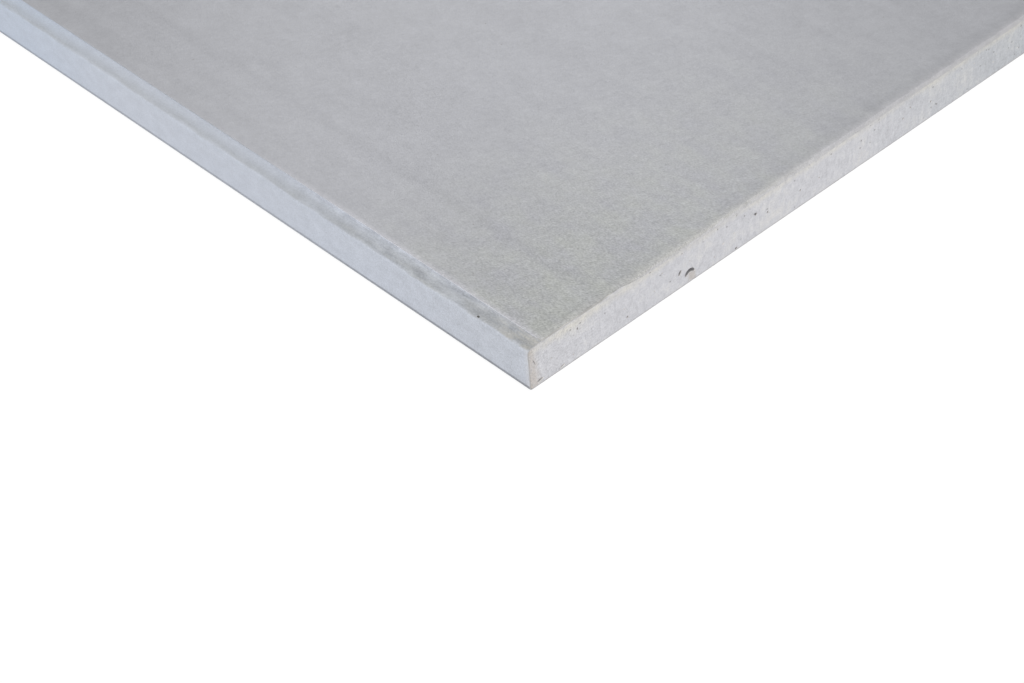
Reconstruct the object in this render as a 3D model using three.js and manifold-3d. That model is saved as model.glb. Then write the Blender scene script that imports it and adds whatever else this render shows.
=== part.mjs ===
// A sheet of square-edge gypsum plasterboard (drywall), lying on its face with its back up.
//
// The sheet is three bonded pieces:
//   gypsum_core  the cast gypsum slab, rebated along both long edges to take the face liner's flaps
//   face_paper   the face liner, one strip of paper that covers the face, wraps both long edges and
//                is folded over onto the back as two flaps
//   back_paper   the grey back liner, lapped over the flaps and trimmed short of the long edges, and
//                dragged down over the core where the knife cut the ends
//
// Millimetres. +X across the sheet, +Y along it (the way it runs through the mill), +Z up. The
// origin is at the middle of the face, which lies on the plane Z = 0.

import * as THREE from "three";
import { mergeVertices } from "three/addons/utils/BufferGeometryUtils.js";
import Module from "manifold-3d";

// ---- Driving dimensions ----

const sheetWidth = 1200;
const sheetLength = 2400;
const sheetThickness = 12.5;

const faceLinerThickness = 0.32;
const backLinerThickness = 0.28;

// How far in from each long edge the flap ends, and how far in the back liner is trimmed.
const flapWidth = 25;
const backLinerTrim = 4.3;

// Outer radii of the liner's two folds. The bare strip of flap outside the back liner slopes down
// to the upper fold by the shoulder's drop.
const lowerFoldRadius = 0.8;
const upperFoldRadius = 1.0;
const shoulderDrop = 0.35;

// The knife's drag rolls the back liner down over each cut end, from this far in from the end and
// down to this far below the back. The doubled paper over the flaps resists it, so that the roll
// narrows to nothing over a taper that ends a little short of each flap.
const knifeRollDepth = 0.8;
const knifeRollDrop = 1.5;
const knifeRollTaper = 12;
const knifeRollFlapGap = 1;

// Straight facets in a quarter turn, and in the roll's taper.
const quarterFacets = 6;
const taperFacets = 6;

const materials = {
  facePaper: new THREE.MeshStandardMaterial({ color: 0xc8ccd4, roughness: 0.85, metalness: 0 }),
  backPaper: new THREE.MeshStandardMaterial({ color: 0xb3b5b6, roughness: 0.9, metalness: 0 }),
  gypsum: new THREE.MeshStandardMaterial({ color: 0xd2d2d3, roughness: 0.95, metalness: 0 }),
};

// ---- Levels and stations worked out from them ----

const halfWidth = sheetWidth / 2;
const halfLength = sheetLength / 2;
const flapTop = sheetThickness - backLinerThickness;
const flapUnderside = flapTop - faceLinerThickness;
const flapEnd = halfWidth - flapWidth;
const backLinerEdge = halfWidth - backLinerTrim;
const rollEnd = flapEnd - knifeRollFlapGap;

// Room by which a blank passes the surfaces that trim it.
const trimRoom = 5;

// ---- Tools ----

const wasm = await Module();
wasm.setup();

/** A closed three.js geometry as a manifold-3d solid, without the faces that have shrunk away. */
function toSolid(geometry) {
  geometry.deleteAttribute("normal");
  geometry.deleteAttribute("uv");
  const merged = mergeVertices(geometry, 1e-4);
  const corners = merged.index.array;
  const kept = [];
  for (let i = 0; i < corners.length; i += 3) {
    const [a, b, c] = corners.slice(i, i + 3);
    if (a !== b && b !== c && c !== a) kept.push(a, b, c);
  }
  return new wasm.Manifold(
    new wasm.Mesh({
      numProp: 3,
      vertProperties: merged.getAttribute("position").array,
      triVerts: new Uint32Array(kept),
    }),
  );
}

/** A manifold-3d solid as a named mesh. */
function toMesh(solid, name, material) {
  const { vertProperties, triVerts } = solid.getMesh();
  const geometry = new THREE.BufferGeometry();
  geometry.setAttribute("position", new THREE.BufferAttribute(vertProperties, 3));
  geometry.setIndex(new THREE.BufferAttribute(triVerts, 1));
  const mesh = new THREE.Mesh(geometry, material);
  mesh.name = name;
  return mesh;
}

/** An XZ outline swept along Y for the whole length of the sheet. */
function sweptAlongSheet(outline) {
  const geometry = new THREE.ExtrudeGeometry(new THREE.Shape(outline), {
    depth: sheetLength,
    bevelEnabled: false,
  });
  const across = new THREE.Vector3(1, 0, 0);
  const up = new THREE.Vector3(0, 0, 1);
  const backwards = new THREE.Vector3(0, -1, 0);
  geometry.applyMatrix4(new THREE.Matrix4().makeBasis(across, up, backwards));
  return toSolid(geometry.translate(0, halfLength, 0));
}

// ---- The section across the sheet, shared by the liner and the core ----

/** Points of a quarter turn about a centre, from one angle in degrees to another. */
function quarterTurn(centreX, centreZ, radius, fromDegrees, toDegrees) {
  const points = [];
  for (let i = 0; i <= quarterFacets; i++) {
    const degrees = fromDegrees + ((toDegrees - fromDegrees) * i) / quarterFacets;
    const angle = THREE.MathUtils.degToRad(degrees);
    points.push(
      new THREE.Vector2(centreX + radius * Math.cos(angle), centreZ + radius * Math.sin(angle)),
    );
  }
  return points;
}

/** One half of the wrap at X > 0, at a depth below the liner's outer side: from the middle of the
 * face, round both folds, to the end of the flap. */
function wrapPath(depth) {
  const lowerCentreX = halfWidth - lowerFoldRadius;
  const upperCentreX = halfWidth - upperFoldRadius;
  const upperCentreZ = flapTop - shoulderDrop - upperFoldRadius;
  return [
    ...quarterTurn(lowerCentreX, lowerFoldRadius, lowerFoldRadius - depth, -90, 0),
    ...quarterTurn(upperCentreX, upperCentreZ, upperFoldRadius - depth, 0, 90),
    new THREE.Vector2(backLinerEdge, flapTop - depth),
    new THREE.Vector2(flapEnd, flapTop - depth),
  ];
}

/** The whole wrap at a depth, from the end of the left flap to the end of the right one. */
function wholeWrap(depth) {
  const right = wrapPath(depth);
  const left = right.map((point) => new THREE.Vector2(-point.x, point.y)).reverse();
  return [...left, ...right];
}

/** The face liner: its outer side out to the right flap, back along its inner side to the left. */
function facePaperSection() {
  return [...wholeWrap(0), ...wholeWrap(faceLinerThickness).reverse()];
}

/** The core: what the liner's inner side encloses, raised between the flaps to the back liner. */
function coreSection() {
  const raisedRight = new THREE.Vector2(flapEnd, flapTop);
  const raisedLeft = new THREE.Vector2(-flapEnd, flapTop);
  return [...wholeWrap(faceLinerThickness), raisedRight, raisedLeft];
}

// ---- The section along the sheet: the knife's roll at the cut ends ----

/** How much of the knife's full roll there is at a distance across the sheet, 0 to 1. */
function rollShare(x) {
  return 1 - THREE.MathUtils.smoothstep(Math.abs(x), rollEnd - knifeRollTaper, rollEnd);
}

/** Distances across the sheet at which the roll's section changes, between the blank's two sides. */
function rollStations(reach) {
  const taper = [];
  for (let i = 0; i <= taperFacets; i++) {
    taper.push(rollEnd - knifeRollTaper + (knifeRollTaper * i) / taperFacets);
  }
  const right = [...taper, reach];
  return [...right.map((x) => -x).reverse(), ...right];
}

/** Everything below a surface that lies level at a depth under the back and rolls down with the
 * liner at both cut ends. At depth 0 that is the back liner's outer side, and at the liner's
 * thickness its inner side, with the ledge that carries the liner's cut edge. */
function belowBack(depth, reach) {
  const level = sheetThickness - depth;
  const drop = knifeRollDrop - depth;
  const roll = [];
  for (let i = 0; i <= quarterFacets; i++) {
    const angle = ((Math.PI / 2) * i) / quarterFacets;
    const inboard = depth + (knifeRollDepth - depth) * (1 - Math.sin(angle));
    roll.push(new THREE.Vector2(halfLength - inboard, level - drop * (1 - Math.cos(angle))));
  }
  if (depth > 0) {
    roll.push(new THREE.Vector2(halfLength, level - drop));
  }
  const outline = [
    new THREE.Vector2(halfLength, -trimRoom),
    ...roll.reverse(),
    ...roll.map((point) => new THREE.Vector2(-point.x, point.y)).reverse(),
    new THREE.Vector2(-halfLength, -trimRoom),
  ];

  const stations = rollStations(reach);
  const spans = stations.length - 1;
  const geometry = new THREE.ExtrudeGeometry(new THREE.Shape(outline), {
    depth: spans,
    steps: spans,
    bevelEnabled: false,
  });
  // Each ring of the sweep moves to its station, and its roll shrinks towards the arris of the cut
  // end by the share there.
  const position = geometry.getAttribute("position");
  for (let i = 0; i < position.count; i++) {
    const y = position.getX(i);
    const z = position.getY(i);
    const x = stations[Math.round(position.getZ(i))];
    if (z > 0) {
      const share = rollShare(x);
      const arris = Math.sign(y) * halfLength;
      position.setXYZ(i, x, arris + (y - arris) * share, level + (z - level) * share);
    } else {
      position.setXYZ(i, x, y, z);
    }
  }
  return toSolid(geometry);
}

// ---- The three pieces ----

const coreTopSide = belowBack(backLinerThickness, halfWidth + trimRoom);

const facePaper = sweptAlongSheet(facePaperSection());
const core = sweptAlongSheet(coreSection()).intersect(coreTopSide);
const backPaper = belowBack(0, backLinerEdge).subtract(coreTopSide);

const sheet = new THREE.Group();
sheet.name = "gypsum_board";
sheet.add(toMesh(core, "gypsum_core", materials.gypsum));
sheet.add(toMesh(facePaper, "face_paper", materials.facePaper));
sheet.add(toMesh(backPaper, "back_paper", materials.backPaper));

export default sheet;
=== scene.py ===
"""Dresses a sheet of square-edge gypsum board that lies on its face with its grey back up.

Three pieces replace the three solids of the frame, each in the place of its solid:

* the gypsum core, with the bubbles that the knife opened at both cut ends
* the face liner, wrapped round the long edges and folded onto the back
* the back liner, trimmed short of the long edges and dragged down over the cut ends

Sizes are in millimetres until a piece is finished, and metres after that. Left and near are the
sides of the sheet with the smaller places across and along it.
"""

import logging
import math
import random
from collections.abc import Iterable
from dataclasses import dataclass
from enum import Enum
from functools import cached_property

import bmesh
import bpy
from mathutils import Euler, Matrix, Vector, noise


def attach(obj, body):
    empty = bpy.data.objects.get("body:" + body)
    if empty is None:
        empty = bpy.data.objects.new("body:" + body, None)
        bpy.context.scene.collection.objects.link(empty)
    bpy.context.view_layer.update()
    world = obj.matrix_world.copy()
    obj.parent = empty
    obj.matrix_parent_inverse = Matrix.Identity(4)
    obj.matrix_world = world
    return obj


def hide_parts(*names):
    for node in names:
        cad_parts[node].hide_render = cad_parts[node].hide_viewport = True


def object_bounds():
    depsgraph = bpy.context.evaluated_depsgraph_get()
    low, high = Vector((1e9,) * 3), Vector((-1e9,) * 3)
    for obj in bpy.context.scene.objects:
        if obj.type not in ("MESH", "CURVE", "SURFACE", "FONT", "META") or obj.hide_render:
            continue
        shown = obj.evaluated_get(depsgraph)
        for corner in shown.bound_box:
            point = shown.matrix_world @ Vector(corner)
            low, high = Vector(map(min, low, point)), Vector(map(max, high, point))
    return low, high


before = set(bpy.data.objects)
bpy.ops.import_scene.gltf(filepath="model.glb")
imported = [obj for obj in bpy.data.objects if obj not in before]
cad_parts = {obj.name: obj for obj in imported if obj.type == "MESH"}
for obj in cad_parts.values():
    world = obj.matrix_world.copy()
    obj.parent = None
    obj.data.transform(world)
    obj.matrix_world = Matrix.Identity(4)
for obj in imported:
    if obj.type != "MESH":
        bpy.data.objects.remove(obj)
cad_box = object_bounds()

log = logging.getLogger("gypsum_board")

MM = 0.001
BODY = "root"

# Paper and gypsum hardly shine: the specular level of every finish.
FAINT_SHINE = 0.25

# How far apart the random patterns lie in the noise that they are read from.
LAYER_STEP = 17.31

Tone = tuple[int, int, int]


# ---------------------------------------------------------------- sizes


def in_mm(metres: float) -> float:
    """A length of the frame in millimetres, to the nearest thousandth."""
    return round(metres / MM, 3)


@dataclass(frozen=True)
class SheetSizes:
    """Sizes of the whole sheet in millimetres, as its solids have them."""

    half_width: float = in_mm(cad_box[1][0])
    half_length: float = in_mm(cad_box[1][1])
    thickness: float = in_mm(cad_box[1][2])
    face_liner: float = 0.32
    back_liner: float = 0.28
    flap_width: float = 25.0
    back_trim: float = 4.3
    lower_fold: float = 0.8
    upper_fold: float = 1.0
    shoulder_drop: float = 0.35
    roll_depth: float = 0.8
    roll_drop: float = 1.5
    roll_taper: float = 12.0
    roll_gap: float = 1.0

    @property
    def flap_top(self) -> float:
        """Level of the folded flap's upper side."""
        return self.thickness - self.back_liner

    @property
    def shoulder(self) -> float:
        """Level of the sharp corner that the upper fold rounds off."""
        return self.flap_top - self.shoulder_drop

    @property
    def flap_end(self) -> float:
        """Distance of the flap's hidden edge from the middle of the sheet."""
        return self.half_width - self.flap_width

    @property
    def back_edge(self) -> float:
        """Distance of the back liner's trimmed edge from the middle of the sheet."""
        return self.half_width - self.back_trim

    def roll_share(self, x: float) -> float:
        """How much of the knife's full roll there is at a distance across the sheet.

        Args:
            x: distance from the middle of the sheet.

        Returns:
            1 between the flaps, fading to 0 next to them.
        """
        end = self.flap_end - self.roll_gap
        return 1.0 - smooth_step(end - self.roll_taper, end, abs(x))


class CutEnd(Enum):
    """A cut end of the sheet, by the sign of its place along the sheet."""

    NEAR = -1.0
    FAR = 1.0


class Pattern(Enum):
    """Random patterns in the papers' shapes, by their seeds."""

    EDGE_SLOW = 3.0
    EDGE_QUICK = 5.0
    STRIP_SLOW = 9.0
    STRIP_QUICK = 11.0
    FRAY = 21.0
    ROLL_SLOW = 31.0
    ROLL_QUICK = 33.0
    LIP_RAGS = 39.0
    TRIM_SLOW = 41.0
    TRIM_QUICK = 43.0


def clamped(value: float) -> float:
    """The nearest value from 0 to 1."""
    return min(1.0, max(0.0, value))


def smooth_step(low: float, high: float, value: float) -> float:
    """Hermite step from 0 at low to 1 at high."""
    t = clamped((value - low) / (high - low))
    return t * t * (3.0 - 2.0 * t)


def wobble(pattern: Pattern, side: float, across: float, up: float = 0.0) -> float:
    """Smooth random value from -1 to 1.

    Args:
        pattern: which of the patterns to read.
        side: -1 or 1 for the pattern of one side or end of the sheet, and 0 for one that both share.
        across: a distance, in units of the pattern's grain.
        up: a second distance, square to the first.

    Returns:
        The pattern's value at the place.
    """
    layer = (pattern.value + side) * LAYER_STEP
    return noise.noise(Vector((across, up, layer)))


def linear(part: int) -> float:
    """Linear light of one part of a tone, which is given from 0 to 255 as it is seen."""
    share = part / 255.0
    return share / 12.92 if share <= 0.04045 else ((share + 0.055) / 1.055) ** 2.4


def colour_of(tone: Tone) -> tuple[float, float, float, float]:
    """Linear colour of a tone."""
    return (*map(linear, tone), 1.0)


# ---------------------------------------------------------------- shader maths


class Wire:
    """A shader socket that takes part in Python arithmetic."""

    def __init__(self, shader: "Shader", socket: bpy.types.NodeSocket) -> None:
        """Wraps an output socket of one of the shader's nodes."""
        self.shader = shader
        self.socket = socket

    def _math(self, operation: str, *values: "Wire | float") -> "Wire":
        """A Math node on one or more values."""
        sockets = dict(enumerate(values))
        return self.shader.node("ShaderNodeMath", {"operation": operation}, sockets)

    def __add__(self, other: "Wire | float") -> "Wire":
        """self + other."""
        return self._math("ADD", self, other)

    def __radd__(self, other: float) -> "Wire":
        """other + self."""
        return self._math("ADD", other, self)

    def __sub__(self, other: "Wire | float") -> "Wire":
        """self - other."""
        return self._math("SUBTRACT", self, other)

    def __rsub__(self, other: float) -> "Wire":
        """other - self."""
        return self._math("SUBTRACT", other, self)

    def __mul__(self, other: "Wire | float") -> "Wire":
        """self * other."""
        return self._math("MULTIPLY", self, other)

    def __rmul__(self, other: float) -> "Wire":
        """other * self."""
        return self._math("MULTIPLY", other, self)

    def __abs__(self) -> "Wire":
        """Distance from zero."""
        return self._math("ABSOLUTE", self)

    def squared(self) -> "Wire":
        """The value times itself."""
        return self * self

    def larger(self, other: "Wire | float") -> "Wire":
        """The larger of two values."""
        return self._math("MAXIMUM", self, other)

    def step(self, start: float, full: float) -> "Wire":
        """Smooth step, which rises or falls with the value.

        Args:
            start: where the step is 0.
            full: where the step is 1, above or below its start.

        Returns:
            The step, from 0 to 1.
        """
        rising = start < full
        return self.shader.node(
            "ShaderNodeMapRange",
            {"interpolation_type": "SMOOTHSTEP"},
            {
                "Value": self,
                "From Min": min(start, full),
                "From Max": max(start, full),
                "To Min": 0.0 if rising else 1.0,
                "To Max": 1.0 if rising else 0.0,
            },
        )

    def near(self, centre: float, reach: float) -> "Wire":
        """1 where the value is at centre, fading to 0 at reach on either side."""
        return abs(self - centre).step(reach, 0.0)


@dataclass(frozen=True)
class Cloud:
    """Soft noise: its grain along each axis in millimetres, and its turn about Z in degrees.

    The detail is how much finer noise is laid over the grain, and the offset picks one out of
    many patterns with the same grain.
    """

    across: float
    along: float
    up: float
    turn: float = 0.0
    detail: float = 2.0
    offset: float = 0.0


@dataclass(frozen=True)
class Spots:
    """Round spots in the cells of a grid: the cell in millimetres and its turn in degrees.

    The radius is in cells, and the share is how many of the cells have a spot.
    """

    across: float
    along: float
    up: float
    radius: float
    share: float
    turn: float = 0.0


class Shader:
    """A material's node tree while it is being wired."""

    def __init__(self, name: str) -> None:
        """Starts a material with only a Principled shader and an output.

        Args:
            name: the material's name.
        """
        self.material = bpy.data.materials.new(name)
        self.material.use_nodes = True
        self.tree = self.material.node_tree
        self.surface = self.tree.nodes["Principled BSDF"]

    def node(
        self,
        kind: str,
        settings: dict[str, object],
        sockets: dict[int | str, object],
        output: int | str = 0,
    ) -> Wire:
        """Adds any node.

        Args:
            kind: the node's type.
            settings: its settings, which are made before its sockets are filled.
            sockets: values or wires for its inputs, by index or name.
            output: the output to return.

        Returns:
            The wire from that output.
        """
        made = self.tree.nodes.new(kind)
        for name, value in settings.items():
            setattr(made, name, value)
        for key, value in sockets.items():
            if isinstance(value, Wire):
                self.tree.links.new(value.socket, made.inputs[key])
            else:
                made.inputs[key].default_value = value
        return Wire(self, made.outputs[output])

    def gridded(self, place: Wire, pattern: Cloud | Spots) -> Wire:
        """A place turned about Z and then scaled, in units of a pattern's grain.

        Args:
            place: the place, in metres.
            pattern: the pattern, whose turn and grain are used.

        Returns:
            The place in grains.
        """
        grain = Vector((pattern.across, pattern.along, pattern.up))
        return self.node(
            "ShaderNodeMapping",
            {"vector_type": "TEXTURE"},
            {
                "Vector": place,
                "Rotation": (0.0, 0.0, math.radians(pattern.turn)),
                "Scale": tuple(grain * MM),
            },
        )

    def cloud(self, place: Wire, pattern: Cloud) -> Wire:
        """Soft noise about zero.

        Args:
            place: the place, in metres.
            pattern: the noise's grain, turn, detail and offset.

        Returns:
            The noise, from about -0.5 to 0.5.
        """
        value = self.node(
            "ShaderNodeTexNoise",
            {"noise_dimensions": "4D"},
            {
                "Vector": self.gridded(place, pattern),
                "W": pattern.offset,
                "Scale": 1.0,
                "Detail": pattern.detail,
            },
        )
        return value - 0.5

    def spots(self, place: Wire, pattern: Spots, soft: float = 0.4) -> Wire:
        """Round spots of uneven size.

        Args:
            place: the place, in metres.
            pattern: the spots' cell, turn, radius and share.
            soft: how much of the radius is a soft rim.

        Returns:
            1 inside a spot and 0 outside.
        """
        cell = {"Vector": self.gridded(place, pattern), "Scale": 1.0}
        distance = self.node("ShaderNodeTexVoronoi", {}, cell)
        lot = self.node("ShaderNodeTexVoronoi", {}, cell, "Color")
        drawn = self.node("ShaderNodeSeparateColor", {}, {"Color": lot}, "Red")
        chosen = drawn.step(pattern.share, pattern.share - 0.02)
        size = self.node("ShaderNodeSeparateColor", {}, {"Color": lot}, "Green")
        reach = distance + size * pattern.radius * 0.5
        return reach.step(pattern.radius, pattern.radius * (1.0 - soft)) * chosen

    def mix(self, share: Wire | float, first: Wire | Tone, second: Wire | Tone) -> Wire:
        """A colour between two colours.

        Args:
            share: how much of the second colour there is, from 0 to 1.
            first: a colour, or a tone.
            second: a colour, or a tone.

        Returns:
            The mixed colour.
        """
        ends = [c if isinstance(c, Wire) else colour_of(c) for c in (first, second)]
        return self.node(
            "ShaderNodeMix", {"data_type": "RGBA"}, {"Factor": share, 6: ends[0], 7: ends[1]}, 2
        )

    def shaded(self, colour: Wire, level: Wire) -> Wire:
        """A colour made lighter or darker.

        Args:
            colour: the colour.
            level: the factor, which varies about one.

        Returns:
            The shaded colour.
        """
        grey = self.node("ShaderNodeCombineColor", {}, {0: level, 1: level, 2: level})
        return self.node(
            "ShaderNodeMix",
            {"data_type": "RGBA", "blend_type": "MULTIPLY"},
            {"Factor": 1.0, 6: colour, 7: grey},
            2,
        )

    def finish(
        self, colour: Wire, roughness: Wire, height: Wire, depth: float, sheen: float = 0.0
    ) -> bpy.types.Material:
        """Wires the surface.

        Args:
            colour: the base colour.
            roughness: the roughness.
            height: relief from 0 to 1.
            depth: what a height of 1 stands for, in millimetres.
            sheen: weight of the soft sheen of loose fibres.

        Returns:
            The finished material.
        """
        relief = self.node(
            "ShaderNodeBump",
            {},
            {"Strength": 1.0, "Distance": depth * MM, "Height": height},
        )
        self.tree.links.new(colour.socket, self.surface.inputs["Base Color"])
        self.tree.links.new(roughness.socket, self.surface.inputs["Roughness"])
        self.tree.links.new(relief.socket, self.surface.inputs["Normal"])
        self.surface.inputs["Specular IOR Level"].default_value = FAINT_SHINE
        self.surface.inputs["Sheen Weight"].default_value = sheen
        return self.material


class SheetPlace:
    """Where a shaded point lies on the sheet: distances in millimetres, wired where they are used."""

    def __init__(self, sh: Shader, sizes: SheetSizes) -> None:
        """Wires the point's place, in metres.

        Args:
            sh: the material that it is wired in.
            sizes: the sizes of the sheet.
        """
        self.sh = sh
        self.sizes = sizes
        self.place = sh.node("ShaderNodeTexCoord", {}, {}, "Object")

    def part(self, axis: str) -> Wire:
        """The part of the place along an axis."""
        split = self.sh.node("ShaderNodeSeparateXYZ", {}, {"Vector": self.place}, axis)
        return split * (1.0 / MM)

    @cached_property
    def across(self) -> Wire:
        """Distance to the right of the middle."""
        return self.part("X")

    @cached_property
    def along(self) -> Wire:
        """Distance to the far side of the middle."""
        return self.part("Y")

    @cached_property
    def up(self) -> Wire:
        """Height above the face."""
        return self.part("Z")

    @cached_property
    def fall(self) -> Wire:
        """Distance below the back."""
        return self.sizes.thickness - self.up

    @cached_property
    def from_left(self) -> Wire:
        """Distance from the left long edge."""
        return self.across + self.sizes.half_width

    @cached_property
    def from_near(self) -> Wire:
        """Distance from the near cut end."""
        return self.along + self.sizes.half_length

    @cached_property
    def from_edge(self) -> Wire:
        """Distance from the nearer long edge."""
        return self.sizes.half_width - abs(self.across)

    @cached_property
    def from_end(self) -> Wire:
        """Distance from the nearer cut end."""
        return self.sizes.half_length - abs(self.along)

    def cloud(self, pattern: Cloud) -> Wire:
        """Soft noise at this point."""
        return self.sh.cloud(self.place, pattern)

    def spots(self, pattern: Spots) -> Wire:
        """Round spots at this point."""
        return self.sh.spots(self.place, pattern)


# ---------------------------------------------------------------- finishes


@dataclass(frozen=True)
class BackLinerFinish:
    """Grey recycled paper, rolled lip included."""

    sizes: SheetSizes
    base: Tone = (184, 185, 190)
    hands: Tone = (184, 186, 183)
    lip: Tone = (200, 199, 196)
    clean_lip: Tone = (207, 206, 209)
    ply: Tone = (208, 208, 214)
    powder: Tone = (214, 213, 214)
    fleck: Tone = (120, 112, 104)
    felt: Cloud = Cloud(0.26, 0.6, 0.4, turn=24.0)
    nap: Cloud = Cloud(1.0, 2.0, 1.0, turn=62.0, offset=1.0)
    fibres: tuple[Cloud, ...] = (
        Cloud(0.28, 2.6, 0.5, turn=12.0, detail=1.0),
        Cloud(0.28, 2.0, 0.5, turn=-28.0, detail=1.0, offset=3.0),
        Cloud(0.28, 1.6, 0.5, turn=68.0, detail=1.0, offset=7.0),
    )
    mottle: Cloud = Cloud(5.0, 9.0, 5.0, detail=3.0, offset=2.0)
    patches: Cloud = Cloud(60.0, 140.0, 60.0, detail=3.0, offset=5.0)
    streaks: Cloud = Cloud(3.0, 260.0, 3.0, offset=9.0)
    drifts: Cloud = Cloud(240.0, 330.0, 240.0, turn=-38.0, detail=0.5, offset=15.0)
    crumbs: Cloud = Cloud(2.2, 2.2, 1.8, detail=1.5, offset=12.0)
    chewed: Cloud = Cloud(6.0, 6.0, 6.0, detail=3.0, offset=18.0)
    flecks: Spots = Spots(4.0, 4.0, 4.0, radius=0.07, share=0.3, turn=20.0)
    roller_line: float = 10.0

    def material(self) -> bpy.types.Material:
        """Wires the grey liner.

        Returns:
            The material.
        """
        sh = Shader("back_liner_grey")
        at = SheetPlace(sh, self.sizes)
        crumbs = at.cloud(self.crumbs)
        mottle = at.cloud(self.mottle)
        handled = self._handled(at)
        felt = at.cloud(self.felt) * (0.17 + handled * 0.98)
        fibres = self._fibres(at)
        flap_line = at.from_edge.near(self.sizes.flap_width - 0.6, 3.2) * 0.035
        over_flap = at.from_edge.step(72.0, 46.0)
        rolled = at.fall.step(0.02, 0.3)
        nap = at.cloud(self.nap) * (0.16 + handled * 0.2)
        streaks = at.cloud(self.streaks) * 0.06

        level = 1.028 + felt + fibres * 0.04 + nap + mottle * 0.18 + streaks
        # Painted light: a pale streak by the near left corner with painted shade beside it, and
        # drifts elsewhere.
        level = level + self._drifts_and_painted_light(at) - over_flap * 0.045 - handled * 0.045
        roller = at.from_edge.near(self.roller_line, 4.0) * 0.012
        level = level - (flap_line + roller) * (1.0 + mottle * 3.0)
        # Painted shade where the grey paper bends down into the rolled lip by each cut end, broken up
        # by noise.
        by_cut = at.from_end.step(7.0, 0.6) * (1.0 - rolled)
        level = level - by_cut * (0.068 - over_flap * 0.03 + crumbs * 0.09)

        colour = sh.mix(at.spots(self.flecks) * 0.5, self.base, self.fleck)
        colour = sh.mix((handled * (0.6 + mottle * 3.0)).larger(0.0), colour, self.hands)
        colour = sh.mix(self._feather(at), colour, self.ply)
        lip = sh.mix(at.from_edge.step(70.0, 105.0), self.lip, self.clean_lip)
        worn = (at.from_end - crumbs * 1.6).step(2.5, 0.5) * 0.4
        colour = sh.mix(worn.larger(rolled * 0.85), colour, lip)
        ragged = crumbs * 2.0 + at.cloud(self.chewed) * 1.6
        colour = sh.mix((at.fall + ragged).step(0.3, 1.25) * rolled, colour, self.powder)

        height = felt * 0.7 + fibres * 0.25 + mottle * 0.4 - flap_line * 12.0
        return sh.finish(sh.shaded(colour, level), felt * 0.1 + 0.88, height, 0.09, 0.1)

    def _fibres(self, at: SheetPlace) -> Wire:
        """Fine fibres that lie in a few directions: the sum of their patterns."""
        return sum(abs(at.cloud(pattern)).step(0.045, 0.0) for pattern in self.fibres)

    def _handled(self, at: SheetPlace) -> Wire:
        """Where hands raised the nap: 1 by the near left corner, fading away from it."""
        return at.from_left.step(170.0, 0.0) * at.from_near.step(80.0, 0.0)

    def _feather(self, at: SheetPlace) -> Wire:
        """How far the trimmed edge has come apart in plies, most of all by the cut ends."""
        by_trim = at.from_edge.step(self.sizes.back_trim + 1.7, self.sizes.back_trim + 0.2)
        return by_trim * (0.1 + at.from_end.step(115.0, 55.0) * 0.45)

    def _drifts_and_painted_light(self, at: SheetPlace) -> Wire:
        """How much lighter or darker wide parts of the paper are than its base.

        By the near left corner this is painted light: a painted pool of light runs inwards from
        the corner as a pale streak, with painted shade on both sides of it. Elsewhere the paper
        has darkened in soft drifts.

        Args:
            at: the shaded point.

        Returns:
            What is added to the level.
        """
        # The pale streak is a painted pool of light along the diagonal from the corner; the paper
        # darkens off it as painted shade.
        off_painted_light = abs(at.from_left * (1.0 / 95.0) - at.from_near * (1.0 / 120.0) + 0.05)
        far = (at.from_left * (1.0 / 420.0)).squared() + (at.from_near * (1.0 / 480.0)).squared()
        by_corner = far.step(1.0, 0.25)
        elsewhere = 0.5 + at.cloud(self.drifts) * 0.7
        painted_light_and_drifts = off_painted_light.step(0.4, 2.0) * by_corner + elsewhere * (1.0 - by_corner)
        patches = at.cloud(self.patches)
        return patches * 0.1 - painted_light_and_drifts * (0.22 + patches * 0.2)


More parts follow.
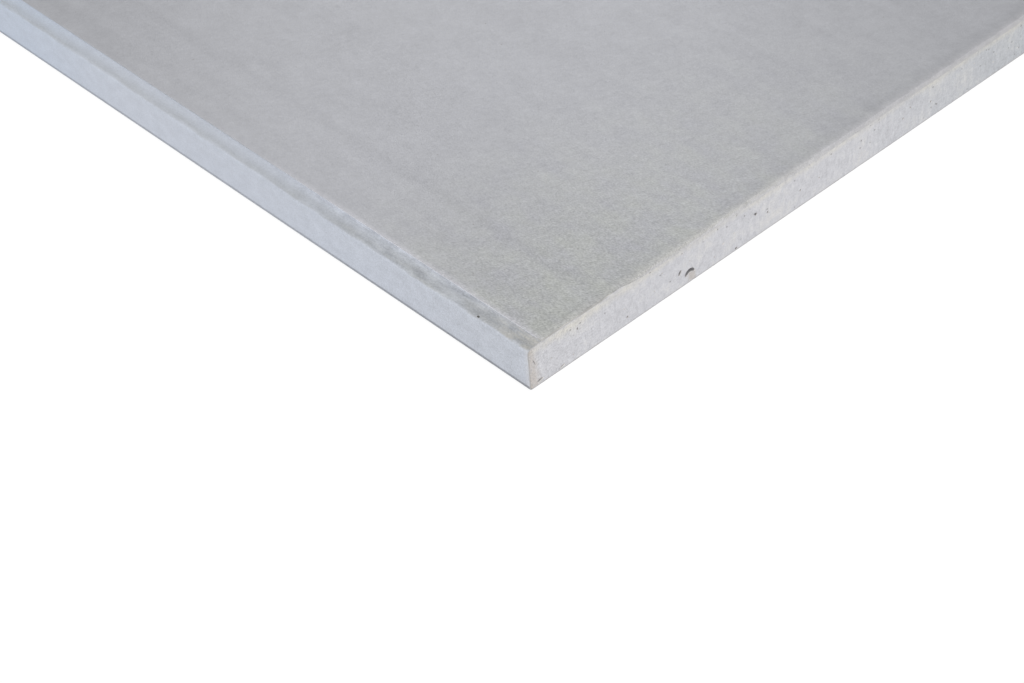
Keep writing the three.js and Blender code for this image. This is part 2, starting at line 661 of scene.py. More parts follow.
@dataclass(frozen=True)
class FaceLinerFinish:
    """Smooth pale paper, with the dirt that a stack rubs onto its folds and painted shade on the
    lower fold by the floor.
    """

    sizes: SheetSizes
    base: Tone = (193, 198, 208)
    clean: Tone = (187, 195, 208)
    grubby: Tone = (184, 185, 186)
    dirt: Tone = (161, 163, 163)
    soiled: Tone = (172, 168, 158)
    sole_dirt_and_shade: Tone = (92, 94, 100)
    frayed: Tone = (207, 207, 210)
    speck: Tone = (78, 76, 70)
    grain: Cloud = Cloud(0.4, 0.5, 0.4, detail=3.0, offset=1.0)
    ribs: Cloud = Cloud(0.4, 2.8, 0.25, turn=5.0, detail=1.0, offset=4.0)
    mottle: Cloud = Cloud(2.5, 4.0, 2.5, detail=4.0, offset=6.0)
    patches: Cloud = Cloud(80.0, 160.0, 80.0, detail=3.0, offset=8.0)
    rubs: Cloud = Cloud(1.5, 11.0, 1.5, detail=4.0, offset=3.0)
    scuffs: Cloud = Cloud(0.7, 5.0, 0.7, detail=3.0, offset=14.0)
    speck_from_near: float = 16.7
    speck_round_fold: float = 12.5

    def material(self) -> bpy.types.Material:
        """Wires the pale liner.

        Returns:
            The material.
        """
        sh = Shader("face_liner_pale")
        at = SheetPlace(sh, self.sizes)
        grain = at.cloud(self.grain)
        fibres = abs(at.cloud(self.ribs)).step(0.04, 0.0)
        mottle = at.cloud(self.mottle)
        rubs = at.cloud(self.rubs)
        scuffs = at.cloud(self.scuffs)
        near = at.from_end.step(105.0, 25.0)

        round_fold = at.up + at.from_edge + rubs * 1.5 - at.from_end.step(16.0, 2.0) * 0.5
        round_fold = round_fold + (scuffs + mottle * 2.0) * near * 1.2
        on_back = (round_fold - near * 0.3).step(11.0, 12.1) * at.up.step(9.5, 10.3)
        by_fold = on_back * (at.from_edge - near * 1.8).step(3.8, -0.2)
        # Lower fold by the floor: painted shade where it turns under towards the floor, together with
        # dirt rubbed on by the floor.
        floor_dirt_and_shade = at.up.step(1.5, 1.05) * at.from_edge.step(1.6, 1.0)

        level = 1.0 + grain * (0.36 + near * 0.36) + fibres * 0.012
        level = level + at.cloud(self.patches) * 0.06 + mottle * (0.25 + near * 0.15)
        level = level - on_back * (0.075 + mottle * 0.08)
        level = level + (scuffs + mottle * 0.5) * on_back * near * 0.9

        colour = sh.mix(at.from_end.step(70.0, 5.0) * 0.2, self.base, self.grubby)
        colour = sh.mix(at.from_end.step(145.0, 205.0), colour, self.clean)
        smudge = by_fold * (0.46 + near * 0.06 + rubs * 0.75 + scuffs * (0.4 + near * 0.7))
        by_cut = (on_back * (1.0 + scuffs * 2.0) + at.up.step(3.2, 1.0)) * at.from_end.step(9.0, 1.0)
        colour = sh.mix(smudge + by_cut * 0.18, colour, self.dirt)
        soil = on_back * at.from_end.step(26.0, 3.0) * (0.34 + scuffs * 1.2 + mottle)
        colour = sh.mix(soil.larger(0.0), colour, self.soiled)
        fray = at.from_end.step(1.6, 0.2) * (0.4 + rubs) * (1.0 - on_back)
        colour = sh.mix(fray, colour, self.frayed)
        # Painted shade and dirt on the lower fold.
        colour = sh.mix(floor_dirt_and_shade * (0.42 + near * 0.16), colour, self.sole_dirt_and_shade)
        colour = sh.mix(self._speck(at) * 0.9, colour, self.speck)

        height = grain * 0.6 + fibres * 0.25 + mottle * 0.5
        return sh.finish(sh.shaded(colour, level), grain * 0.1 + 0.8, height, 0.06, 0.08)

    def _speck(self, at: SheetPlace) -> Wire:
        """A crumb of dirt pressed into the upper fold, a little way from the near left corner.

        Args:
            at: the shaded point.

        Returns:
            1 on the crumb and 0 off it.
        """
        beside = (at.from_near - self.speck_from_near) * 2.5
        across = (at.from_left + at.up - self.speck_round_fold) * 2.9
        return (beside.squared() + across.squared()).step(1.4, 0.5)


@dataclass(frozen=True)
class CutPaperFinish:
    """Raw section of a liner, where a blade opened its plies."""

    name: str
    sizes: SheetSizes
    base: Tone
    ply: Tone
    trimmed: Tone = (224, 224, 230)
    worn: Tone = (190, 193, 198)
    grain: Cloud = Cloud(0.25, 0.25, 0.1, detail=3.0)
    patches: Cloud = Cloud(3.5, 3.5, 3.5, detail=4.0, offset=4.0)

    def material(self) -> bpy.types.Material:
        """Wires the raw section, which is bright along the sheet until it is worn.

        Returns:
            The material.
        """
        sh = Shader(self.name)
        at = SheetPlace(sh, self.sizes)
        grain = at.cloud(self.grain)
        mixed = 0.5 + at.cloud(self.patches) * 3.6 + grain * 0.8
        colour = sh.mix(mixed, self.base, self.ply)
        colour = sh.mix(at.from_end.step(0.8, 1.6), colour, self.trimmed)
        colour = sh.mix(at.from_end.step(55.0, 115.0), colour, self.worn)
        shaded = sh.shaded(colour, 1.0 + grain * 0.25)
        return sh.finish(shaded, grain * 0.1 + 0.9, grain, 0.12)


@dataclass(frozen=True)
class GypsumFinish:
    """Cut gypsum: powdery, with fine pores and the drag marks of the blade."""

    sizes: SheetSizes
    base: Tone = (216, 216, 220)
    cream: Tone = (216, 213, 205)
    tan: Tone = (200, 192, 184)
    cool: Tone = (205, 210, 214)
    pit_shade: Tone = (142, 140, 138)
    powder: Cloud = Cloud(0.5, 0.5, 0.5, detail=4.0)
    drag: Cloud = Cloud(0.9, 4.0, 7.0, detail=3.0, offset=2.0)
    crumbs: Cloud = Cloud(1.5, 3.0, 2.0, offset=3.0)
    patches: Cloud = Cloud(9.0, 9.0, 6.0, detail=3.0, offset=5.0)
    pits: Spots = Spots(1.6, 1.6, 1.6, radius=0.17, share=0.4)
    dust: Spots = Spots(0.6, 0.6, 0.9, radius=0.24, share=0.3, turn=30.0)
    stain_from_left: float = 52.5
    stain_up: float = 1.4

    def material(self) -> bpy.types.Material:
        """Wires the cut gypsum.

        Returns:
            The material.
        """
        sh = Shader("gypsum_cut")
        at = SheetPlace(sh, self.sizes)
        powder = at.cloud(self.powder)
        drag = at.cloud(self.drag)
        crumbs = at.cloud(self.crumbs)
        patches = at.cloud(self.patches)
        pits = at.spots(self.pits)
        dust = at.spots(self.dust)
        by_paper = at.fall.near(1.6, 2.2)
        by_wrap = (at.from_edge + at.up * 0.14 + crumbs * 4.0).step(4.8, 1.9)
        near = at.from_left.step(40.0, 5.0)
        away = at.from_left.step(100.0, 180.0)

        level = 0.99 + near * 0.012 + powder * (0.46 + near * 0.4) + crumbs * 0.4
        level = level + patches * 0.24 + drag * (0.13 + away * 0.08) - away * 0.11
        level = level + by_paper * 0.03

        colour = sh.mix(away * 0.5, self.base, self.cool)
        warm = by_paper * 0.5 + at.up.step(5.0, 11.0) * near * 0.2 + patches * 1.2 + crumbs * 0.8
        colour = sh.mix(warm.larger(0.0), colour, self.cream)
        colour = sh.mix(by_wrap * (0.66 + crumbs * 1.5), colour, self.tan)
        colour = sh.mix(self._stain(at, crumbs * 3.0) * 0.68, colour, self.tan)
        # The pits are painted with a dark shade tone in place of the shade in tiny pores; the dust
        # spots take a faint touch of it.
        colour = sh.mix(pits * 0.6 + dust * 0.22, colour, self.pit_shade)

        height = powder * 0.8 + drag * 0.8 - pits * 1.2 - dust * 0.3
        return sh.finish(sh.shaded(colour, level), powder * 0.08 + 0.93, height, 0.12)

    def _stain(self, at: SheetPlace, ragged: Wire) -> Wire:
        """A tan stain on the plug of gypsum inside the large bubble by the near left corner.

        Args:
            at: the shaded point.
            ragged: how much its outline wanders.

        Returns:
            1 on the stain and 0 off it.
        """
        beside = (at.from_left - self.stain_from_left) * 0.7
        over = (at.up - self.stain_up) * 0.6
        return (beside.squared() + over.squared() + ragged).step(1.5, 0.2)


@dataclass(frozen=True)
class BubbleFinish:
    """Wall of an opened bubble: smooth, cream by its rim, with painted dark shade deeper in where
    no light gets in.

    The painted shade darkens between two depths below the cut, in millimetres.
    """

    name: str
    sizes: SheetSizes
    dark_from: float
    dark_to: float
    rim: Tone = (227, 224, 221)
    painted_shade_tone: Tone = (120, 120, 123)
    powder: Cloud = Cloud(0.3, 0.3, 0.3, detail=3.0)

    def material(self) -> bpy.types.Material:
        """Wires the wall's tone, with its painted shade, to its depth below the cut.

        Returns:
            The material.
        """
        sh = Shader(self.name)
        at = SheetPlace(sh, self.sizes)
        powder = at.cloud(self.powder)
        # Painted shade: the wall darkens with depth below the cut, where little light reaches.
        painted_depth_shade = at.from_end.step(self.dark_from, self.dark_to)
        colour = sh.mix(painted_depth_shade * 0.92, self.rim, self.painted_shade_tone)
        shaded = sh.shaded(colour, 1.0 + powder * 0.3)
        return sh.finish(shaded, powder * 0.1 + 0.8, powder, 0.08)


# ---------------------------------------------------------------- making pieces


def finished(
    name: str,
    bm: bmesh.types.BMesh,
    materials: Iterable[bpy.types.Material],
    closed: bool = True,
) -> bpy.types.Object:
    """Turns a bmesh in millimetres into a finished object in metres, and frees the bmesh.

    Args:
        name: the object's name.
        bm: the shape.
        materials: its material slots, in order.
        closed: whether the shape is closed, and its faces can be turned to point outwards.

    Returns:
        The object, linked into the scene.
    """
    bmesh.ops.scale(bm, vec=Vector((MM, MM, MM)), verts=bm.verts)
    if closed:
        bmesh.ops.recalc_face_normals(bm, faces=bm.faces)
    mesh = bpy.data.meshes.new(name)
    bm.to_mesh(mesh)
    bm.free()
    made = bpy.data.objects.new(name, mesh)
    bpy.context.scene.collection.objects.link(made)
    for material in materials:
        mesh.materials.append(material)
    return made


def with_modifiers_applied(made: bpy.types.Object) -> bpy.types.Object:
    """Replaces an object's mesh by what its modifiers make of it.

    Args:
        made: the object, which loses its modifiers.

    Returns:
        The same object.
    """
    graph = bpy.context.evaluated_depsgraph_get()
    mesh = bpy.data.meshes.new_from_object(made.evaluated_get(graph))
    made.modifiers.clear()
    made.data = mesh
    return made


def turn_to(bm: bmesh.types.BMesh, up: float) -> None:
    """Turns the faces of an open sheet so that most of them point up, or down.

    Args:
        bm: the sheet.
        up: 1 for up and -1 for down.
    """
    bmesh.ops.recalc_face_normals(bm, faces=bm.faces)
    bm.normal_update()
    if up * sum(f.normal.z * f.calc_area() for f in bm.faces) < 0.0:
        bmesh.ops.reverse_faces(bm, faces=bm.faces)


def thicken(paper: bpy.types.Object, thickness: float, even: bool) -> None:
    """Gives a sheet of paper its thickness inwards, with its raw section on the rims.

    Args:
        paper: the sheet, whose second material is the raw section.
        thickness: its thickness in millimetres.
        even: whether the wall keeps its thickness round a fold.
    """
    solid = paper.modifiers.new("thickness", "SOLIDIFY")
    solid.thickness = thickness * MM
    solid.offset = -1.0
    solid.use_even_offset = even
    solid.material_offset_rim = 1
    with_modifiers_applied(paper)


# ---------------------------------------------------------------- the core


# A bubble that is deeper than a pore has a lumpy wall.
DEEPEST_PORE = 1.1
LUMPINESS = 0.16
LUMPS_PER_MM = 1.3


class Wall(Enum):
    """Finish of a bubble's wall, by its slot among the cutter's materials."""

    PORE = 0
    BUBBLE = 1


@dataclass(frozen=True)
class Bubble:
    """An air bubble that the blade opened in a cut end, in millimetres.

    Place and size are in the plane of the cut: distance from the left long edge, height above
    the face, width, height, and depth into the core. The tilt in the plane of the cut is in
    degrees. A bubble that was squeezed round a plug of gypsum is bent, like an arch over it, to
    the radius that is given, and its swell is how much thicker its left half is than its right.
    """

    across: float
    up: float
    width: float
    tall: float
    depth: float
    tilt: float = 0.0
    bend: float = 0.0
    swell: float = 0.0

    @property
    def wall(self) -> Wall:
        """Which wall it has: a pore is too small to let light onto its floor."""
        return Wall.BUBBLE if self.depth > DEEPEST_PORE else Wall.PORE

    def add_to(self, bm: bmesh.types.BMesh, place: Matrix) -> None:
        """Adds the bubble as a closed shape.

        Args:
            bm: the shape to add it to.
            place: where the middle of its opening is, with Y along the depth.
        """
        fine = self.wall is Wall.BUBBLE or self.bend > 0.0
        made = bmesh.ops.create_icosphere(bm, subdivisions=3 if fine else 2, radius=0.5)["verts"]
        size = Matrix.Diagonal((self.width, self.depth * 2.0, self.tall, 1.0))
        bmesh.ops.transform(bm, matrix=size, verts=made)
        for vert in made:
            if self.bend > 0.0:
                self._bend(vert)
            if self.wall is Wall.BUBBLE:
                spot = vert.co * LUMPS_PER_MM + Vector((self.across, 0.0, 0.0))
                vert.co *= 1.0 + LUMPINESS * noise.noise(spot)
        turn = Matrix.Rotation(math.radians(self.tilt), 4, "Y")
        bmesh.ops.transform(bm, matrix=place @ turn, verts=made)
        for face in {face for vert in made for face in vert.link_faces}:
            face.material_index = self.wall.value
            face.smooth = True

    def _bend(self, vert: bmesh.types.BMVert) -> None:
        """Moves one place of a straight bubble to where it lies in the arch.

        Args:
            vert: the place, from the bubble's middle.
        """
        vert.co.z *= 1.0 - self.swell * vert.co.x / self.width
        turn = vert.co.x / self.bend
        reach = self.bend + vert.co.z
        vert.co.x = reach * math.sin(turn)
        vert.co.z = reach * math.cos(turn) - self.bend


# The bubbles next to the near left corner. The first one arches over a plug of gypsum.
CORNER_BUBBLES = (
    Bubble(51.8, 3.5, 4.2, 1.25, 0.9, -3.0, 1.5, 0.8),
    Bubble(48.45, 4.65, 0.85, 1.7, 0.8, 26.0),
    Bubble(1.9, 7.4, 0.3, 2.8, 0.3, -22.0),
    Bubble(3.3, 1.25, 2.3, 0.9, 0.35, -10.0),
    Bubble(7.0, 5.4, 0.55, 0.4, 0.4),
    Bubble(10.2, 0.95, 1.8, 0.6, 0.3, -12.0),
    Bubble(13.7, 2.1, 0.5, 0.4, 0.3),
    Bubble(15.4, 8.75, 0.55, 0.7, 0.8),
    Bubble(28.7, 10.5, 0.4, 0.4, 0.2),
    Bubble(30.2, 5.2, 0.45, 0.4, 0.3),
    Bubble(31.1, 2.3, 0.7, 0.65, 0.6),
    Bubble(40.0, 4.4, 0.4, 0.4, 0.25),
    Bubble(42.6, 8.2, 0.4, 0.45, 0.25),
    Bubble(49.3, 10.0, 0.5, 0.5, 0.4),
    Bubble(51.8, 6.3, 0.4, 0.4, 0.25),
    Bubble(60.2, 2.4, 0.4, 0.5, 0.3),
    Bubble(63.2, 4.7, 1.0, 0.5, 0.2),
    Bubble(66.9, 5.6, 0.5, 0.6, 0.25),
    Bubble(67.6, 0.65, 1.0, 0.7, 0.7),
    Bubble(74.4, 6.95, 0.9, 0.9, 0.9),
    Bubble(78.6, 5.15, 0.6, 0.7, 0.6),
    Bubble(90.2, 5.0, 0.6, 0.6, 0.5),
    Bubble(97.0, 5.0, 0.5, 0.5, 0.4),
    Bubble(128.3, 5.6, 0.7, 0.6, 0.5),
    Bubble(130.9, 7.6, 0.6, 0.6, 0.5),
    Bubble(139.0, 5.1, 0.7, 0.6, 0.4),
)


@dataclass(frozen=True)
class GypsumCore:
    """The cast core, with its bubbles opened at both cut ends.

    Places, widths and gaps are in millimetres, heights and depths are shares of a bubble's width,
    tilts are in degrees and the flat angle is in radians.
    """

    sizes: SheetSizes
    seed: int = 7
    bubbles_per_end: int = 230
    corner_reach: float = 150.0
    from_sides: float = 2.0
    from_face: float = 1.4
    from_back: float = 2.6
    least_gap: float = 0.2
    pore_widths: tuple[float, float] = (0.35, 0.90)
    large_widths: tuple[float, float] = (1.2, 2.4)
    large_share: float = 0.03
    heights: tuple[float, float] = (0.6, 1.1)
    depths: tuple[float, float] = (0.45, 0.7)
    tilts: tuple[float, float] = (-40.0, 40.0)
    weld: float = 0.002
    flat_angle: float = 0.001
    recess: float = 0.04
    side_room: float = 0.1

    def bubbles(self, known: Iterable[Bubble]) -> list[Bubble]:
        """Scatters bubbles over a cut end, most of them small, and clear of each other.

        Args:
            known: bubbles whose places are given.

        Returns:
            The known bubbles and the scattered ones.
        """
        draw = random.Random(self.seed)
        placed = list(known)
        span = 2.0 * self.sizes.half_width
        clear_corner = self.corner_reach if placed else 0.0
        small, large = self.pore_widths
        while len(placed) < self.bubbles_per_end:
            width = small + (large - small) * draw.random() ** 3
            if draw.random() < self.large_share:
                width = draw.uniform(*self.large_widths)
            spot = Bubble(
                across=draw.uniform(clear_corner + self.from_sides, span - self.from_sides),
                up=draw.uniform(self.from_face, self.sizes.thickness - self.from_back),
                width=width,
                tall=width * draw.uniform(*self.heights),
                depth=width * draw.uniform(*self.depths),
                tilt=draw.uniform(*self.tilts),
            )
            gaps = [
                math.hypot(spot.across - b.across, spot.up - b.up) - spot.width - b.width
                for b in placed
            ]
            if min(gaps, default=1.0) > self.least_gap:
                placed.append(spot)
        return placed

    def cutter(self) -> bpy.types.Object:
        """Makes one object of all the bubbles, for taking out of the core.

        Returns:
            The object, with a material for each kind of wall.
        """
        bm = bmesh.new()
        for end, known in ((CutEnd.NEAR, CORNER_BUBBLES), (CutEnd.FAR, ())):
            for bubble in self.bubbles(known):
                across = bubble.across - self.sizes.half_width
                along = end.value * self.sizes.half_length
                bubble.add_to(bm, Matrix.Translation((across, along, bubble.up)))
        # Both wall finishes paint shade into the walls below the cut.
        walls = {
            Wall.PORE: BubbleFinish("gypsum_pore", self.sizes, 0.05, 0.4),
            Wall.BUBBLE: BubbleFinish("gypsum_bubble", self.sizes, 0.85, 1.75),
        }
        return finished("bubble_cutter", bm, [walls[wall].material() for wall in Wall])

    def _eased(self) -> bmesh.types.BMesh:
        """Copies the core's solid, and draws it in a little from the papers' frayed rims.

        Returns:
            The core's shape in millimetres.
        """
        bm = bmesh.new()
        bm.from_mesh(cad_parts["gypsum_core"].data)
        bmesh.ops.scale(bm, vec=Vector((1.0 / MM, 1.0 / MM, 1.0 / MM)), verts=bm.verts)
        bmesh.ops.remove_doubles(bm, verts=bm.verts, dist=self.weld)
        bmesh.ops.dissolve_limit(bm, angle_limit=self.flat_angle, verts=bm.verts, edges=bm.edges)
        wide = self.sizes.half_width - self.sizes.face_liner
        for vert in bm.verts:
            if abs(vert.co.y) > self.sizes.half_length - 0.01:
                vert.co.y -= math.copysign(self.recess, vert.co.y)
            if abs(vert.co.x) > wide - 1.0:
                vert.co.x -= math.copysign(self.side_room, vert.co.x)
        return bm

    def build(self) -> bpy.types.Object:
        """Makes the core from its solid, and takes the bubbles out.

        Returns:
            The dressed core.
        """
        core = finished("core_cut", self._eased(), [GypsumFinish(self.sizes).material()])
        cutter = self.cutter()
        taking = core.modifiers.new("bubbles", "BOOLEAN")
        taking.operation = "DIFFERENCE"
        taking.solver = "EXACT"
        taking.material_mode = "TRANSFER"
        taking.object = cutter
        with_modifiers_applied(core)
        bpy.data.objects.remove(cutter)
        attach(core, BODY)
        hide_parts("gypsum_core")
        return core


# ---------------------------------------------------------------- the face liner


@dataclass(frozen=True)
class FacePaper:
    """The face liner: the face, both wrapped edges and their flaps, in one strip.

    Each pair of lengths is for a slow wave and a quick one.
    """

    sizes: SheetSizes
    rows: int = 600
    edge_facets: int = 9
    strip_facets: int = 5
    fold_facets: int = 6
    end_rows: tuple[float, ...] = (0.35, 1.2)
    wave: float = 0.10
    wave_lengths: tuple[float, float] = (38.0, 9.0)
    wave_reach: float = 1.2
    wave_from: float = 0.8
    wave_full: float = 6.0
    sag: float = 0.12
    sag_lengths: tuple[float, float] = (24.0, 6.0)
    sag_offsets: tuple[float, float] = (0.2, 2.2)
    fray: float = 0.26
    frays_per_mm: float = 1.1

    def corners(self) -> list[tuple[float, float]]:
        """The strip's path across the sheet with sharp folds.

        Returns:
            The path's corners from left to right, as places across and up.
        """
        s = self.sizes
        right = [
            (s.half_width, 0.0),
            (s.half_width, s.shoulder),
            (s.back_edge, s.flap_top),
            (s.flap_end, s.flap_top),
        ]
        return [(-x, z) for x, z in reversed(right)] + right

    def path(self, bm: bmesh.types.BMesh) -> None:
        """Draws the path as a wire at the near cut end, with its folds rounded.

        Args:
            bm: the empty shape to draw it in.
        """
        s = self.sizes
        verts = [bm.verts.new((x, -s.half_length, z)) for x, z in self.corners()]
        for first, second in zip(verts, verts[1:]):
            bm.edges.new((first, second))
        upright = [e for e in bm.edges if self._stands(e)]
        bmesh.ops.subdivide_edges(bm, edges=upright, cuts=self.edge_facets)
        strips = [e for e in bm.edges if self._is_strip(e)]
        bmesh.ops.subdivide_edges(bm, edges=strips, cuts=self.strip_facets)
        for level, radius in ((0.0, s.lower_fold), (s.shoulder, s.upper_fold)):
            folds = [
                v for v in bm.verts
                if abs(abs(v.co.x) - s.half_width) < 1e-4 and abs(v.co.z - level) < 1e-4
            ]
            bmesh.ops.bevel(
                bm, geom=folds, offset=radius, offset_type="OFFSET", segments=self.fold_facets,
                profile=0.5, affect="VERTICES", material=-1,
            )

    def _stands(self, edge: bmesh.types.BMEdge) -> bool:
        """Whether an edge of the path stands upright on a long edge of the sheet."""
        low, high = sorted(v.co.z for v in edge.verts)
        return high - low > 1.0

    def _is_strip(self, edge: bmesh.types.BMEdge) -> bool:
        """Whether an edge of the path is the bare strip outside the back liner."""
        near, far = sorted(abs(v.co.x) for v in edge.verts)
        return abs(near - self.sizes.back_edge) < 1e-3 and far > self.sizes.back_edge + 1.0

    def build(self) -> bpy.types.Object:
        """Sweeps the path along the sheet and gives the strip its thickness.

        Returns:
            The dressed face liner.
        """
        s = self.sizes
        bm = bmesh.new()
        self.path(bm)
        swept = bmesh.ops.extrude_edge_only(bm, edges=bm.edges[:])
        moved = [g for g in swept["geom"] if isinstance(g, bmesh.types.BMVert)]
        bmesh.ops.translate(bm, vec=Vector((0.0, 2.0 * s.half_length, 0.0)), verts=moved)
        lengthwise = [e for e in bm.edges if abs(e.verts[0].co.y - e.verts[1].co.y) > 1.0]
        bmesh.ops.subdivide_edges(bm, edges=lengthwise, cuts=self.rows, use_grid_fill=True)
        for offset in self.end_rows:
            for end in CutEnd:
                bmesh.ops.bisect_plane(
                    bm, geom=bm.verts[:] + bm.edges[:] + bm.faces[:],
                    plane_co=Vector((0.0, end.value * (s.half_length - offset), 0.0)),
                    plane_no=Vector((0.0, 1.0, 0.0)),
                )
        for vert in bm.verts:
            place = vert.co.copy()
            vert.co.x -= self._wave(place)
            vert.co.z -= self._sag(place)
            vert.co.y -= self._fray(place)
        turn_to(bm, -1.0)
        section = CutPaperFinish("face_liner_section", s, (203, 203, 205), (190, 188, 185))
        materials = [FaceLinerFinish(s).material(), section.material()]
        paper = finished("face_liner_wrapped", bm, materials, closed=False)
        thicken(paper, s.face_liner, even=True)
        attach(paper, BODY)
        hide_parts("face_paper")
        return paper

    def _wave(self, place: Vector) -> float:
        """How far the wrapped edge's slow and quick waves draw it in.

        Args:
            place: a place on the strip as it was folded.

        Returns:
            The distance across the sheet, below zero on the left side.
        """
        if abs(place.x) <= self.sizes.half_width - self.wave_reach or place.z <= self.wave_from:
            return 0.0
        side = math.copysign(1.0, place.x)
        slow, quick = (place.y / length for length in self.wave_lengths)
        swing = 0.5 + 0.5 * wobble(Pattern.EDGE_SLOW, side, slow)
        swing += 0.3 * wobble(Pattern.EDGE_QUICK, side, quick)
        rise = smooth_step(self.wave_from, self.wave_full, place.z)
        return side * self.wave * rise * clamped(swing)

    def _sag(self, place: Vector) -> float:
        """How far the bare strip on the back sags.

        Args:
            place: a place on the strip as it was folded.

        Returns:
            The distance down.
        """
        inner, outer = (self.sizes.back_edge + offset for offset in self.sag_offsets)
        if place.z <= self.sizes.shoulder - 0.5 or abs(place.x) <= inner:
            return 0.0
        side = math.copysign(1.0, place.x)
        slow, quick = (place.y / length for length in self.sag_lengths)
        swing = 0.5 + 0.5 * wobble(Pattern.STRIP_SLOW, side, slow)
        swing += 0.35 * wobble(Pattern.STRIP_QUICK, side, quick, place.x)
        return self.sag * smooth_step(inner, outer, abs(place.x)) * clamped(swing)

    def _fray(self, place: Vector) -> float:
        """How far the fray at a cut end draws it in.

        Args:
            place: a place on the strip as it was folded.

        Returns:
            The distance along the sheet, below zero at the near end.
        """
        if abs(place.y) <= self.sizes.half_length - self.fray:
            return 0.0
        grain = self.frays_per_mm
        up = place.z * grain + place.y
        ragged = 0.5 + 0.5 * wobble(Pattern.FRAY, 0.0, place.x * grain, up)
        return math.copysign(self.fray * ragged ** 2, place.y)


# ---------------------------------------------------------------- the back liner


@dataclass(frozen=True)
class BackPaper:
    """The grey back liner, trimmed along the long edges and rolled down at the cut ends.

    Each pair of lengths is for a slow wave and a quick one.
    """

    sizes: SheetSizes
    columns: int = 1500
    flat_rows: int = 3
    flat_reach: float = 3.0
    roll_rows: int = 8
    roll_lengths: tuple[float, float] = (21.0, 4.3)
    least_depth: float = 0.08
    rags: tuple[float, float] = (0.02, 0.12)
    rags_per_mm: float = 0.9
    trim_rows: int = 700
    trim_drift: float = 0.12
    trim_nicks: float = 0.14
    trim_lengths: tuple[float, float] = (60.0, 5.0)
    weld: float = 0.004

    def lip(self, bm: bmesh.types.BMesh, end: CutEnd) -> None:
        """Makes the strip at one cut end and rolls it down.

        Args:
            bm: the shape to add it to.
            end: the cut end.
        """
        rows = self.flat_rows + self.roll_rows
        inwards = 0.5 * end.value
        place = Matrix.Translation((0.0, inwards, 0.0)) @ Matrix.Diagonal(
            (self.sizes.back_edge, inwards, 1.0, 1.0)
        )
        made = bmesh.ops.create_grid(
            bm, x_segments=self.columns, y_segments=rows, size=1.0, matrix=place
        )
        for vert in made["verts"]:
            self._roll(vert, round(abs(vert.co.y) * rows), end)

    def _roll(self, vert: bmesh.types.BMVert, row: int, end: CutEnd) -> None:
        """Lays one place of a strip: flat as far as the roll, and then down over the core.

        Args:
            vert: the place.
            row: how many rows it is from the strip's inner end.
            end: the cut end that the strip is at.
        """
        s = self.sizes
        x = vert.co.x
        share = s.roll_share(x)
        slow = wobble(Pattern.ROLL_SLOW, end.value, x / self.roll_lengths[0])
        quick = wobble(Pattern.ROLL_QUICK, end.value, x / self.roll_lengths[1])
        least, more = self.rags
        ragged = least + more * abs(wobble(Pattern.LIP_RAGS, end.value, x * self.rags_per_mm))
        wide = s.roll_depth * share * (1.0 + 0.3 * slow + 0.55 * quick)
        depth = max(self.least_depth, wide)
        drop = s.roll_drop * share * (0.985 + 0.012 * slow)
        if row <= self.flat_rows:
            part = row / self.flat_rows
            inboard = self.flat_reach + (depth - self.flat_reach) * part
            fall = 0.0
        else:
            angle = 0.5 * math.pi * (row - self.flat_rows) / self.roll_rows
            inboard = depth * (1.0 - math.sin(angle))
            fall = drop * (1.0 - math.cos(angle))
        inboard = max(inboard, ragged * (1.0 - 0.7 * share))
        vert.co.y = end.value * (s.half_length - inboard)
        vert.co.z = s.thickness - fall

    def build(self) -> bpy.types.Object:
        """Joins the two rolled ends by one sheet, trims its edges and gives it its thickness.

        Returns:
            The dressed back liner.
        """
        s = self.sizes
        bm = bmesh.new()
        for end in CutEnd:
            self.lip(bm, end)
        seam = s.half_length - self.flat_reach
        inner = [
            e for e in bm.edges
            if e.is_boundary and all(abs(abs(v.co.y) - seam) < 1e-3 for v in e.verts)
        ]
        bmesh.ops.bridge_loops(bm, edges=inner)
        self._trim(bm)
        bmesh.ops.remove_doubles(bm, verts=bm.verts, dist=self.weld)
        turn_to(bm, 1.0)
        section = CutPaperFinish("back_liner_section", s, (216, 213, 206), (180, 179, 176))
        materials = [BackLinerFinish(s).material(), section.material()]
        paper = finished("back_liner_grey_sheet", bm, materials, closed=False)
        thicken(paper, s.back_liner, even=False)
        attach(paper, BODY)
        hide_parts("back_paper")
        return paper

    def _trim(self, bm: bmesh.types.BMesh) -> None:
        """Cuts the trimmed edges into short lengths and lets them wander a little.

        Args:
            bm: the sheet.
        """
        sides = [
            e for e in bm.edges
            if e.is_boundary and abs(e.verts[0].co.y - e.verts[1].co.y) > self.sizes.half_length
        ]
        bmesh.ops.subdivide_edges(bm, edges=sides, cuts=self.trim_rows)
        for vert in bm.verts:
            if abs(vert.co.x) > self.sizes.back_edge - 1e-3:
                side = math.copysign(1.0, vert.co.x)
                slow, quick = (vert.co.y / length for length in self.trim_lengths)
                drift = 0.5 + 0.5 * wobble(Pattern.TRIM_SLOW, side, slow)
                nick = max(0.0, wobble(Pattern.TRIM_QUICK, side, quick))
                vert.co.x -= side * (self.trim_drift * drift + self.trim_nicks * nick)


# ---------------------------------------------------------------- camera, light and floor


@dataclass(frozen=True)
class Viewpoint:
    """Where the camera stands: its place in metres, its turns in degrees and its lens in mm."""

    place: tuple[float, float, float] = (-0.85566, -1.49872, 0.36127)
    turns: tuple[float, float, float] = (48.5583, 3.4515, -43.1427)
    lens: float = 83.84
    film_width: float = 36.0

    def set_up(self) -> None:
        """Makes the camera and hands it to the scene."""
        data = bpy.data.cameras.new("camera")
        data.lens = self.lens
        data.sensor_width = self.film_width
        data.clip_start = 0.01
        camera = bpy.data.objects.new("camera", data)
        bpy.context.scene.collection.objects.link(camera)
        turn = Euler([math.radians(angle) for angle in self.turns]).to_matrix().to_4x4()
        camera.matrix_world = Matrix.Translation(self.place) @ turn
        bpy.context.scene.camera = camera


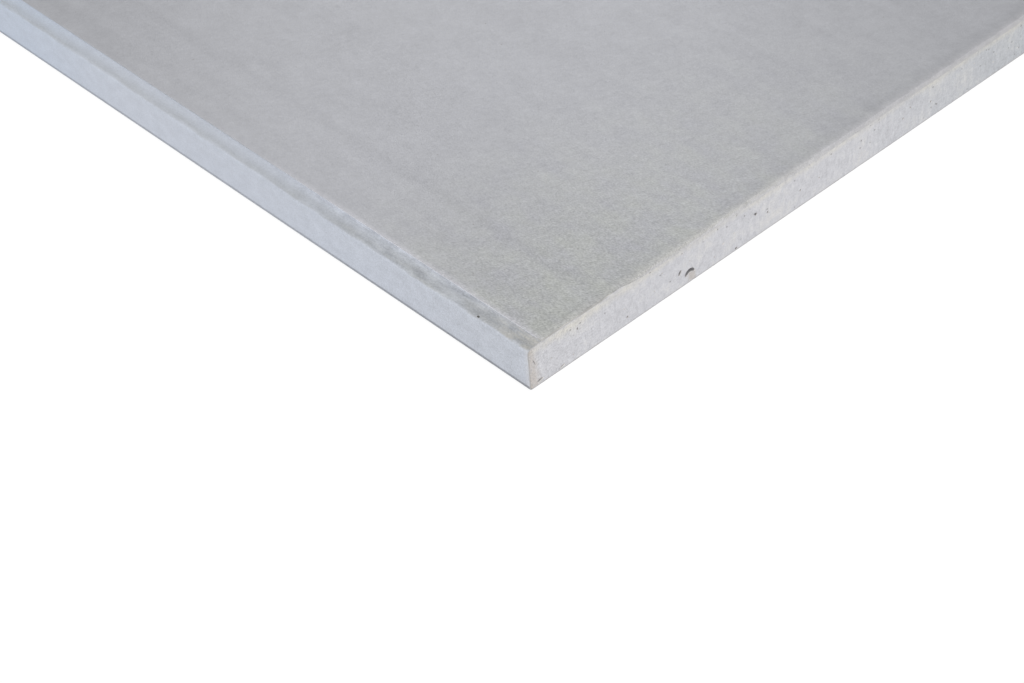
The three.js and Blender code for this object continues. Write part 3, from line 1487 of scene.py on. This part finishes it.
@dataclass(frozen=True)
class Studio:
    """A pale floor under a soft even sky, with one broad lamp."""

    sky: float = 0.62
    lamp: float = 1.55
    lamp_spread: float = 50.0
    lamp_from: tuple[float, float, float] = (-0.62, -0.40, 0.90)
    floor_half: float = 6.0
    floor_gap: float = 0.05
    floor_tone: Tone = (235, 235, 236)
    veil: float = 0.72
    veil_glow: float = 1.12

    def set_up(self) -> None:
        """Makes the sky, the lamp and the floor."""
        self._sky()
        data = bpy.data.lights.new("lamp", "SUN")
        data.energy = self.lamp
        data.angle = math.radians(self.lamp_spread)
        lamp = bpy.data.objects.new("lamp", data)
        lamp.rotation_mode = "QUATERNION"
        lamp.rotation_quaternion = Vector(self.lamp_from).to_track_quat("Z", "Y")
        bpy.context.scene.collection.objects.link(lamp)
        bm = bmesh.new()
        level = Matrix.Translation((0.0, 0.0, -self.floor_gap))
        bmesh.ops.create_grid(
            bm, x_segments=1, y_segments=1, size=self.floor_half / MM, matrix=level
        )
        floor = finished("floor", bm, [self._floor_finish()])

    def _sky(self) -> None:
        """Lights the scene evenly and shows white behind it."""
        world = bpy.data.worlds.new("sky")
        bpy.context.scene.world = world
        world.use_nodes = True
        tree = world.node_tree
        light = tree.nodes["Background"]
        light.inputs["Strength"].default_value = self.sky
        light.inputs["Color"].default_value = (1.0, 1.0, 1.0, 1.0)
        seen = tree.nodes.new("ShaderNodeBackground")
        seen.inputs["Color"].default_value = (1.0, 1.0, 1.0, 1.0)
        path = tree.nodes.new("ShaderNodeLightPath")
        choice = tree.nodes.new("ShaderNodeMixShader")
        tree.links.new(path.outputs["Is Camera Ray"], choice.inputs["Fac"])
        tree.links.new(light.outputs[0], choice.inputs[1])
        tree.links.new(seen.outputs[0], choice.inputs[2])
        tree.links.new(choice.outputs[0], tree.nodes["World Output"].inputs["Surface"])

    def _floor_finish(self) -> bpy.types.Material:
        """A pale matt floor that is white to the eye, except in the sheet's shadow.

        Returns:
            The material.
        """
        sh = Shader("floor_pale")
        tree = sh.tree
        tree.nodes.remove(sh.surface)
        path = tree.nodes.new("ShaderNodeLightPath")
        seen = Wire(sh, path.outputs["Is Camera Ray"])
        seen = seen.larger(Wire(sh, path.outputs["Is Glossy Ray"]))
        seen = seen.larger(Wire(sh, path.outputs["Is Transmission Ray"]))
        matt = sh.node("ShaderNodeBsdfDiffuse", {}, {"Color": colour_of(self.floor_tone)})
        glow = sh.node("ShaderNodeEmission", {}, {"Strength": self.veil_glow})
        veiled = sh.node("ShaderNodeMixShader", {}, {"Fac": self.veil, 1: matt, 2: glow})
        choice = sh.node("ShaderNodeMixShader", {}, {"Fac": seen, 1: matt, 2: veiled})
        tree.links.new(choice.socket, tree.nodes["Material Output"].inputs["Surface"])
        return sh.material


# ---------------------------------------------------------------- the whole


def report(piece: bpy.types.Object) -> None:
    """Logs a piece's name and how many faces it has."""
    log.info("%s: %d faces", piece.name, len(piece.data.polygons))


def main() -> None:
    """Builds the camera, the studio and the sheet's three pieces."""
    logging.basicConfig(level=logging.INFO, format="%(name)s: %(message)s")
    bpy.context.scene.view_settings.view_transform = "Standard"
    Viewpoint().set_up()
    Studio().set_up()
    sizes = SheetSizes()
    for part in (GypsumCore(sizes), FacePaper(sizes), BackPaper(sizes)):
        report(part.build())


if __name__ == "__main__":
    main()
